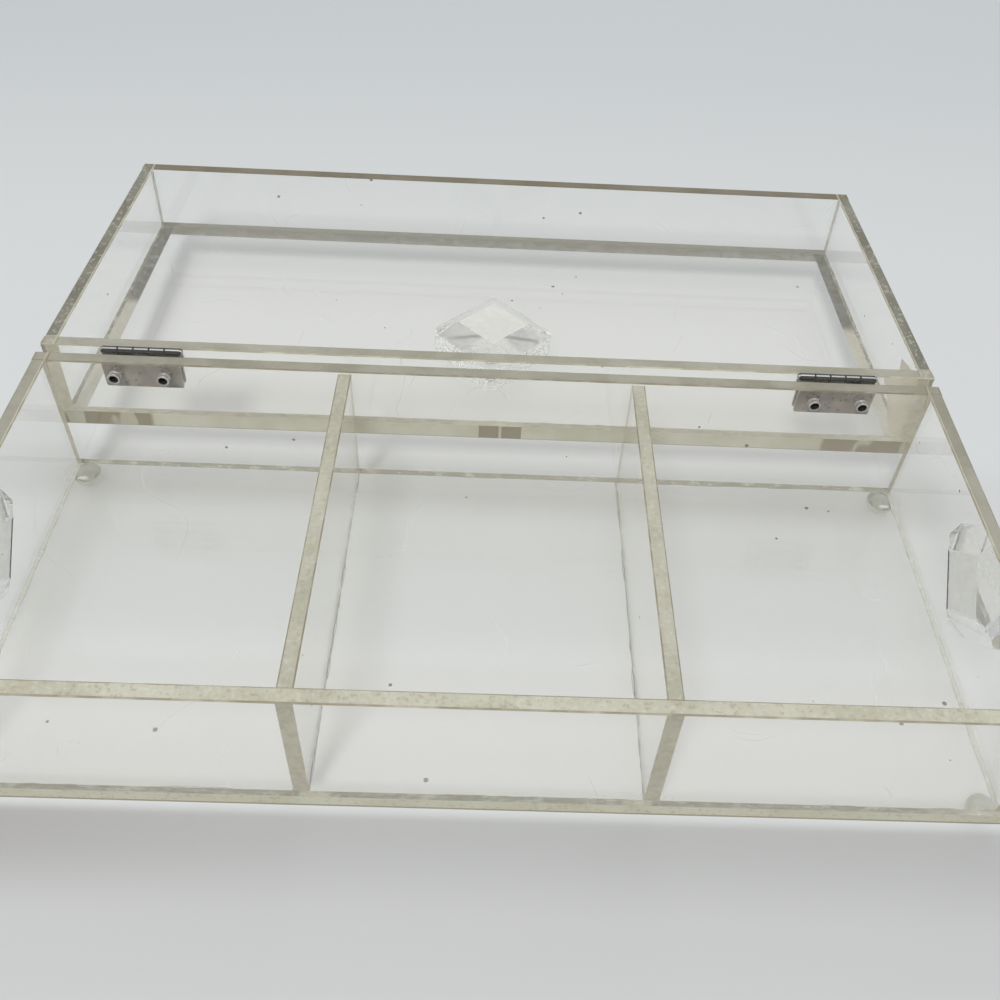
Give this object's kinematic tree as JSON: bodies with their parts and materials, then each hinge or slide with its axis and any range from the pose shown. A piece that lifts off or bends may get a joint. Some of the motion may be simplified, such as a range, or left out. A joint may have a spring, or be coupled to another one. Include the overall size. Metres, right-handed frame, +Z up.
{
  "type": "jewelry box",
  "caption": "Clear acrylic jewelry box: a divided tray and a hinged lid that folds right back, with faceted diamond handles on its sides and a matching knob on the lid.",
  "frame": {"origin": "on the table, under the middle of the hinge axis, between the tray and the open lid", "axes": "+X to the right along the box's long side, +Y to the back, towards the hinges and the open lid, +Z up. The rest pose has the lid folded back, 182.4 degrees from closed, as in the picture."},
  "size_m": [0.3254, 0.2579, 0.0592],
  "materials": {
    "sheet_acrylic": "clear, glossy faces, edges sawn and yellowed",
    "block_acrylic": "clear, polished facets",
    "foot_rubber": "clear, soft sheen",
    "hinge_steel": "nickel plated, dulled",
    "rivet_steel": "nickel plated, rolled ends"
  },
  "bodies": {
    "tray": {"tray_bottom_panel": "sheet_acrylic", "tray_front_wall": "sheet_acrylic", "tray_back_wall": "sheet_acrylic", "tray_left_wall": "sheet_acrylic", "tray_right_wall": "sheet_acrylic", "left_divider": "sheet_acrylic", "right_divider": "sheet_acrylic", "left_side_handle": "block_acrylic", "right_side_handle": "block_acrylic", "foot_front_left": "foot_rubber", "foot_front_right": "foot_rubber", "foot_back_left": "foot_rubber", "foot_back_right": "foot_rubber", "left_hinge_tray_leaf": "hinge_steel", "right_hinge_tray_leaf": "hinge_steel", "left_hinge_pin": "hinge_steel", "right_hinge_pin": "hinge_steel", "left_hinge_tray_rivets": "rivet_steel", "right_hinge_tray_rivets": "rivet_steel"},
    "lid": {"lid_top_panel": "sheet_acrylic", "lid_front_wall": "sheet_acrylic", "lid_back_wall": "sheet_acrylic", "lid_left_wall": "sheet_acrylic", "lid_right_wall": "sheet_acrylic", "lid_knob": "block_acrylic", "left_hinge_lid_leaf": "hinge_steel", "right_hinge_lid_leaf": "hinge_steel", "left_hinge_lid_rivets": "rivet_steel", "right_hinge_lid_rivets": "rivet_steel"}
  },
  "joints": [
    {"name": "lid_hinge", "type": "hinge", "parent": "tray", "child": "lid", "pos_m": [0, 0, 0.0578], "axis": [1, 0, 0], "range_deg": [0, 182.4]}
  ]
}
